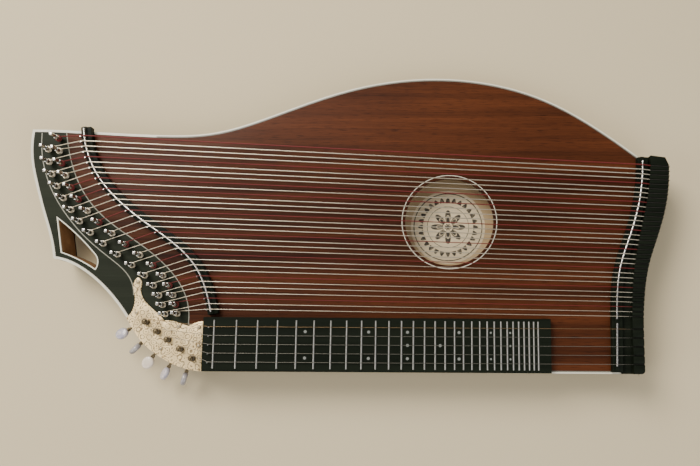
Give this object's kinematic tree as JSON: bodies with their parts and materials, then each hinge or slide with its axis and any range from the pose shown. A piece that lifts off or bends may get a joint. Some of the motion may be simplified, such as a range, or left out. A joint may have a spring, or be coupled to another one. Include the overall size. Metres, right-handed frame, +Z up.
{
  "type": "concert zither",
  "caption": "Fretted concert zither with a curved far side, pin block, hand window, machine head and soundhole.",
  "frame": {"origin": "centre of the object's box, at the plane of the feet", "axes": "+X along the strings from the tuning pins to the string rail, +Y away from the player, +Z up"},
  "size_m": [0.7025, 0.3408, 0.062],
  "materials": {
    "rosewood": "satin lacquer, red-brown with dark streaks",
    "dark_stain": "satin lacquer, dark stained ribs",
    "maple": "bare hardwood",
    "black_veneer": "satin ebonised veneer",
    "cream": "satin cream binding",
    "ebony": "polished ebonised hardwood",
    "nickel": "nickel plated",
    "string_wire": "silver plated wound wire",
    "gilt_brass": "engraved pale gilt plate",
    "aged_brass": "dark bronzed posts",
    "pearl": "pearl buttons on steel shafts"
  },
  "bodies": {
    "body": {"back_board": "rosewood", "side_ribs": "dark_stain", "pin_block": "maple", "hitch_block": "maple", "soundboard": "rosewood", "braces": "maple", "head_plate": "black_veneer", "binding": "cream", "fretboard": "ebony", "frets": "nickel", "bridges": "ebony", "bridge_rods": "nickel", "string_rail": "ebony", "string_pins": "nickel", "strings": "string_wire", "machine_plate": "gilt_brass", "feet": "ebony"},
    "tuning_pin_01": {"tuning_pin_01": "nickel"},
    "tuning_pin_02": {"tuning_pin_02": "nickel"},
    "tuning_pin_03": {"tuning_pin_03": "nickel"},
    "tuning_pin_04": {"tuning_pin_04": "nickel"},
    "tuning_pin_05": {"tuning_pin_05": "nickel"},
    "tuning_pin_06": {"tuning_pin_06": "nickel"},
    "tuning_pin_07": {"tuning_pin_07": "nickel"},
    "tuning_pin_08": {"tuning_pin_08": "nickel"},
    "tuning_pin_09": {"tuning_pin_09": "nickel"},
    "tuning_pin_10": {"tuning_pin_10": "nickel"},
    "tuning_pin_11": {"tuning_pin_11": "nickel"},
    "tuning_pin_12": {"tuning_pin_12": "nickel"},
    "tuning_pin_13": {"tuning_pin_13": "nickel"},
    "tuning_pin_14": {"tuning_pin_14": "nickel"},
    "tuning_pin_15": {"tuning_pin_15": "nickel"},
    "tuning_pin_16": {"tuning_pin_16": "nickel"},
    "tuning_pin_17": {"tuning_pin_17": "nickel"},
    "tuning_pin_18": {"tuning_pin_18": "nickel"},
    "tuning_pin_19": {"tuning_pin_19": "nickel"},
    "tuning_pin_20": {"tuning_pin_20": "nickel"},
    "tuning_pin_21": {"tuning_pin_21": "nickel"},
    "tuning_pin_22": {"tuning_pin_22": "nickel"},
    "tuning_pin_23": {"tuning_pin_23": "nickel"},
    "tuning_pin_24": {"tuning_pin_24": "nickel"},
    "tuning_pin_25": {"tuning_pin_25": "nickel"},
    "tuning_pin_26": {"tuning_pin_26": "nickel"},
    "tuning_pin_27": {"tuning_pin_27": "nickel"},
    "tuning_pin_28": {"tuning_pin_28": "nickel"},
    "tuning_pin_29": {"tuning_pin_29": "nickel"},
    "tuning_pin_30": {"tuning_pin_30": "nickel"},
    "tuning_pin_31": {"tuning_pin_31": "nickel"},
    "tuning_pin_32": {"tuning_pin_32": "nickel"},
    "tuning_pin_33": {"tuning_pin_33": "nickel"},
    "string_post_1": {"string_post_1": "aged_brass"},
    "worm_shaft_1": {"worm_shaft_1": "pearl"},
    "string_post_2": {"string_post_2": "aged_brass"},
    "worm_shaft_2": {"worm_shaft_2": "pearl"},
    "string_post_3": {"string_post_3": "aged_brass"},
    "worm_shaft_3": {"worm_shaft_3": "pearl"},
    "string_post_4": {"string_post_4": "aged_brass"},
    "worm_shaft_4": {"worm_shaft_4": "pearl"},
    "string_post_5": {"string_post_5": "aged_brass"},
    "worm_shaft_5": {"worm_shaft_5": "pearl"}
  },
  "joints": [
    {"name": "pin_turn_01", "type": "hinge", "parent": "body", "child": "tuning_pin_01", "pos_m": [-0.3165, 0.0981, 0.04], "axis": [0, 0, 1], "range_deg": [-900, 180]},
    {"name": "pin_turn_02", "type": "hinge", "parent": "body", "child": "tuning_pin_02", "pos_m": [-0.3264, 0.0855, 0.04], "axis": [0, 0, 1], "range_deg": [-900, 180]},
    {"name": "pin_turn_03", "type": "hinge", "parent": "body", "child": "tuning_pin_03", "pos_m": [-0.31446, 0.08385, 0.04], "axis": [0, 0, 1], "range_deg": [-900, 180]},
    {"name": "pin_turn_04", "type": "hinge", "parent": "body", "child": "tuning_pin_04", "pos_m": [-0.32457, 0.07145, 0.04], "axis": [0, 0, 1], "range_deg": [-900, 180]},
    {"name": "pin_turn_05", "type": "hinge", "parent": "body", "child": "tuning_pin_05", "pos_m": [-0.31074, 0.06991, 0.04], "axis": [0, 0, 1], "range_deg": [-900, 180]},
    {"name": "pin_turn_06", "type": "hinge", "parent": "body", "child": "tuning_pin_06", "pos_m": [-0.32027, 0.0577, 0.04], "axis": [0, 0, 1], "range_deg": [-900, 180]},
    {"name": "pin_turn_07", "type": "hinge", "parent": "body", "child": "tuning_pin_07", "pos_m": [-0.30538, 0.05628, 0.04], "axis": [0, 0, 1], "range_deg": [-900, 180]},
    {"name": "pin_turn_08", "type": "hinge", "parent": "body", "child": "tuning_pin_08", "pos_m": [-0.31377, 0.04425, 0.04], "axis": [0, 0, 1], "range_deg": [-900, 180]},
    {"name": "pin_turn_09", "type": "hinge", "parent": "body", "child": "tuning_pin_09", "pos_m": [-0.29839, 0.04295, 0.04], "axis": [0, 0, 1], "range_deg": [-900, 180]},
    {"name": "pin_turn_10", "type": "hinge", "parent": "body", "child": "tuning_pin_10", "pos_m": [-0.30575, 0.0311, 0.04], "axis": [0, 0, 1], "range_deg": [-900, 180]},
    {"name": "pin_turn_11", "type": "hinge", "parent": "body", "child": "tuning_pin_11", "pos_m": [-0.28965, 0.02993, 0.04], "axis": [0, 0, 1], "range_deg": [-900, 180]},
    {"name": "pin_turn_12", "type": "hinge", "parent": "body", "child": "tuning_pin_12", "pos_m": [-0.2968, 0.01825, 0.04], "axis": [0, 0, 1], "range_deg": [-900, 180]},
    {"name": "pin_turn_13", "type": "hinge", "parent": "body", "child": "tuning_pin_13", "pos_m": [-0.27888, 0.01721, 0.04], "axis": [0, 0, 1], "range_deg": [-900, 180]},
    {"name": "pin_turn_14", "type": "hinge", "parent": "body", "child": "tuning_pin_14", "pos_m": [-0.28648, 0.0057, 0.04], "axis": [0, 0, 1], "range_deg": [-900, 180]},
    {"name": "pin_turn_15", "type": "hinge", "parent": "body", "child": "tuning_pin_15", "pos_m": [-0.26573, 0.0048, 0.04], "axis": [0, 0, 1], "range_deg": [-900, 180]},
    {"name": "pin_turn_16", "type": "hinge", "parent": "body", "child": "tuning_pin_16", "pos_m": [-0.27404, -0.00655, 0.04], "axis": [0, 0, 1], "range_deg": [-900, 180]},
    {"name": "pin_turn_17", "type": "hinge", "parent": "body", "child": "tuning_pin_17", "pos_m": [-0.25077, -0.00731, 0.04], "axis": [0, 0, 1], "range_deg": [-900, 180]},
    {"name": "pin_turn_18", "type": "hinge", "parent": "body", "child": "tuning_pin_18", "pos_m": [-0.25947, -0.0185, 0.04], "axis": [0, 0, 1], "range_deg": [-900, 180]},
    {"name": "pin_turn_19", "type": "hinge", "parent": "body", "child": "tuning_pin_19", "pos_m": [-0.23523, -0.01911, 0.04], "axis": [0, 0, 1], "range_deg": [-900, 180]},
    {"name": "pin_turn_20", "type": "hinge", "parent": "body", "child": "tuning_pin_20", "pos_m": [-0.24339, -0.03015, 0.04], "axis": [0, 0, 1], "range_deg": [-900, 180]},
    {"name": "pin_turn_21", "type": "hinge", "parent": "body", "child": "tuning_pin_21", "pos_m": [-0.21958, -0.0306, 0.04], "axis": [0, 0, 1], "range_deg": [-900, 180]},
    {"name": "pin_turn_22", "type": "hinge", "parent": "body", "child": "tuning_pin_22", "pos_m": [-0.22726, -0.0415, 0.04], "axis": [0, 0, 1], "range_deg": [-900, 180]},
    {"name": "pin_turn_23", "type": "hinge", "parent": "body", "child": "tuning_pin_23", "pos_m": [-0.20468, -0.04179, 0.04], "axis": [0, 0, 1], "range_deg": [-900, 180]},
    {"name": "pin_turn_24", "type": "hinge", "parent": "body", "child": "tuning_pin_24", "pos_m": [-0.21311, -0.05255, 0.04], "axis": [0, 0, 1], "range_deg": [-900, 180]},
    {"name": "pin_turn_25", "type": "hinge", "parent": "body", "child": "tuning_pin_25", "pos_m": [-0.19363, -0.05267, 0.04], "axis": [0, 0, 1], "range_deg": [-900, 180]},
    {"name": "pin_turn_26", "type": "hinge", "parent": "body", "child": "tuning_pin_26", "pos_m": [-0.20309, -0.0633, 0.04], "axis": [0, 0, 1], "range_deg": [-900, 180]},
    {"name": "pin_turn_27", "type": "hinge", "parent": "body", "child": "tuning_pin_27", "pos_m": [-0.18659, -0.06324, 0.04], "axis": [0, 0, 1], "range_deg": [-900, 180]},
    {"name": "pin_turn_28", "type": "hinge", "parent": "body", "child": "tuning_pin_28", "pos_m": [-0.19673, -0.07375, 0.04], "axis": [0, 0, 1], "range_deg": [-900, 180]},
    {"name": "pin_turn_29", "type": "hinge", "parent": "body", "child": "tuning_pin_29", "pos_m": [-0.18183, -0.07351, 0.04], "axis": [0, 0, 1], "range_deg": [-900, 180]},
    {"name": "pin_turn_30", "type": "hinge", "parent": "body", "child": "tuning_pin_30", "pos_m": [-0.19236, -0.0839, 0.04], "axis": [0, 0, 1], "range_deg": [-900, 180]},
    {"name": "pin_turn_31", "type": "hinge", "parent": "body", "child": "tuning_pin_31", "pos_m": [-0.17857, -0.08347, 0.04], "axis": [0, 0, 1], "range_deg": [-900, 180]},
    {"name": "pin_turn_32", "type": "hinge", "parent": "body", "child": "tuning_pin_32", "pos_m": [-0.18924, -0.09375, 0.04], "axis": [0, 0, 1], "range_deg": [-900, 180]},
    {"name": "pin_turn_33", "type": "hinge", "parent": "body", "child": "tuning_pin_33", "pos_m": [-0.17656, -0.09313, 0.04], "axis": [0, 0, 1], "range_deg": [-900, 180]},
    {"name": "post_turn_1", "type": "hinge", "parent": "body", "child": "string_post_1", "pos_m": [-0.2101, -0.1019, 0.04], "axis": [0, 0, 1], "continuous": true},
    {"name": "button_turn_1", "type": "hinge", "parent": "body", "child": "worm_shaft_1", "pos_m": [-0.21352, -0.09642, 0.028], "axis": [-0.848, -0.5299, 0], "continuous": true},
    {"name": "post_turn_2", "type": "hinge", "parent": "body", "child": "string_post_2", "pos_m": [-0.1977, -0.1119, 0.04], "axis": [0, 0, 1], "continuous": true},
    {"name": "button_turn_2", "type": "hinge", "parent": "body", "child": "worm_shaft_2", "pos_m": [-0.2021, -0.10718, 0.028], "axis": [-0.7314, -0.682, 0], "continuous": true},
    {"name": "post_turn_3", "type": "hinge", "parent": "body", "child": "string_post_3", "pos_m": [-0.186, -0.1205, 0.04], "axis": [0, 0, 1], "continuous": true},
    {"name": "button_turn_3", "type": "hinge", "parent": "body", "child": "worm_shaft_3", "pos_m": [-0.19122, -0.11671, 0.028], "axis": [-0.5878, -0.809, 0], "continuous": true},
    {"name": "post_turn_4", "type": "hinge", "parent": "body", "child": "string_post_4", "pos_m": [-0.1723, -0.1302, 0.04], "axis": [0, 0, 1], "continuous": true},
    {"name": "button_turn_4", "type": "hinge", "parent": "body", "child": "worm_shaft_4", "pos_m": [-0.17805, -0.12727, 0.028], "axis": [-0.454, -0.891, 0], "continuous": true},
    {"name": "post_turn_5", "type": "hinge", "parent": "body", "child": "string_post_5", "pos_m": [-0.1594, -0.1399, 0.04], "axis": [0, 0, 1], "continuous": true},
    {"name": "button_turn_5", "type": "hinge", "parent": "body", "child": "worm_shaft_5", "pos_m": [-0.16564, -0.13823, 0.028], "axis": [-0.2588, -0.9659, 0], "continuous": true}
  ],
  "couplings": [
    {"joint": "button_turn_1", "follows": "post_turn_1", "ratio": -14},
    {"joint": "button_turn_2", "follows": "post_turn_2", "ratio": -14},
    {"joint": "button_turn_3", "follows": "post_turn_3", "ratio": -14},
    {"joint": "button_turn_4", "follows": "post_turn_4", "ratio": -14},
    {"joint": "button_turn_5", "follows": "post_turn_5", "ratio": -14}
  ]
}
